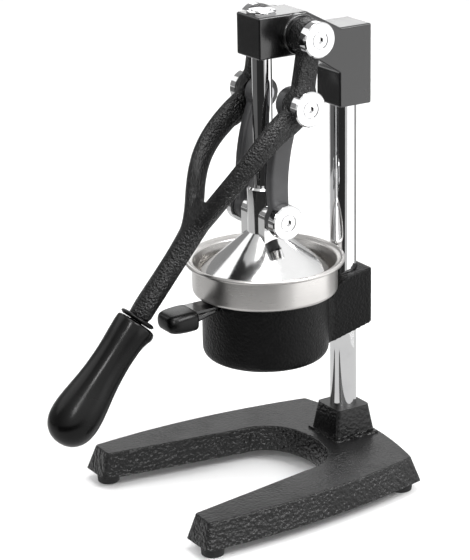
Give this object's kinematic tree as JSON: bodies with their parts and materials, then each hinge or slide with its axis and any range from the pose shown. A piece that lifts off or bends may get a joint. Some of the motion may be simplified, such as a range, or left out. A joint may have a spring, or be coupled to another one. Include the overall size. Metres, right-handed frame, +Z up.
{
  "type": "citrus press juicer",
  "caption": "Hand-lever citrus press: U-shaped base, round column, guided press cone on a toggle lever, drip bowl with lift-out strainer.",
  "frame": {"origin": "on the surface that the press stands on, under the middle of its bounding box at rest", "axes": "+X to the operator's right along the pivot pins, +Y away from the operator, +Z up along the press rod"},
  "size_m": [0.2006, 0.3054, 0.4008],
  "materials": {
    "hammered_black": "glossy hammered enamel",
    "satin_black": "smooth satin enamel",
    "chrome": "mirror plated",
    "zinc_steel": "zinc plated",
    "polished_aluminium": "polished casting",
    "brushed_steel": "brushed round the cup",
    "grip_plastic": "satin moulded",
    "black_rubber": "matte"
  },
  "bodies": {
    "frame": {"base_casting": "hammered_black", "foot_front_left": "black_rubber", "foot_front_right": "black_rubber", "foot_rear_left": "black_rubber", "foot_rear_right": "black_rubber", "foot_screws": "zinc_steel", "column": "chrome", "column_bolt": "zinc_steel", "column_washer": "zinc_steel", "head_casting": "satin_black", "head_grub_screw": "zinc_steel", "guide_bush": "chrome", "upper_pivot_pins": "zinc_steel", "upper_pivot_caps": "chrome", "upper_cap_screws": "chrome", "upper_spacer_rings": "satin_black", "bowl_casting": "hammered_black", "bowl_grub_screw": "zinc_steel", "strainer_cup": "brushed_steel", "reamer": "brushed_steel", "strainer_bracket": "brushed_steel", "strainer_grip": "grip_plastic", "strainer_grip_screw": "zinc_steel"},
    "lever": {"lever_casting": "hammered_black", "middle_pivot_pins": "zinc_steel", "middle_pivot_caps": "chrome", "middle_cap_screws": "chrome", "grip_collar": "grip_plastic", "handle_grip": "grip_plastic"},
    "link_right": {"link_right": "satin_black", "lower_pivot_pin_right": "zinc_steel", "lower_pivot_cap_right": "chrome", "lower_cap_screw_right": "chrome"},
    "link_left": {"link_left": "satin_black", "lower_pivot_pin_left": "zinc_steel", "lower_pivot_cap_left": "chrome", "lower_cap_screw_left": "chrome"},
    "press": {"press_cone": "polished_aluminium", "cone_grub_screw": "zinc_steel", "ear_pins": "zinc_steel", "guide_rod": "chrome"}
  },
  "joints": [
    {"name": "lever_pivot", "type": "hinge", "parent": "frame", "child": "lever", "pos_m": [0, 0.0682, 0.382], "axis": [-1, 0, 0], "range_deg": [0, 135]},
    {"name": "link_right_pivot", "type": "hinge", "parent": "lever", "child": "link_right", "pos_m": [0.0225, 0.0592, 0.329], "axis": [-1, 0, 0], "range_deg": [-148.86, 0]},
    {"name": "link_left_pivot", "type": "hinge", "parent": "lever", "child": "link_left", "pos_m": [-0.0225, 0.0592, 0.329], "axis": [-1, 0, 0], "range_deg": [-148.86, 0]},
    {"name": "press_slide", "type": "slide", "parent": "frame", "child": "press", "axis": [0, 0, 1], "range_m": [0, 0.09646]}
  ],
  "couplings": [
    {"joint": "link_right_pivot", "follows": "lever_pivot", "ratio": -1.1012},
    {"joint": "link_left_pivot", "follows": "lever_pivot", "ratio": -1.1012},
    {"joint": "press_slide", "follows": "lever_pivot", "m_per_rad": 0.040852}
  ]
}
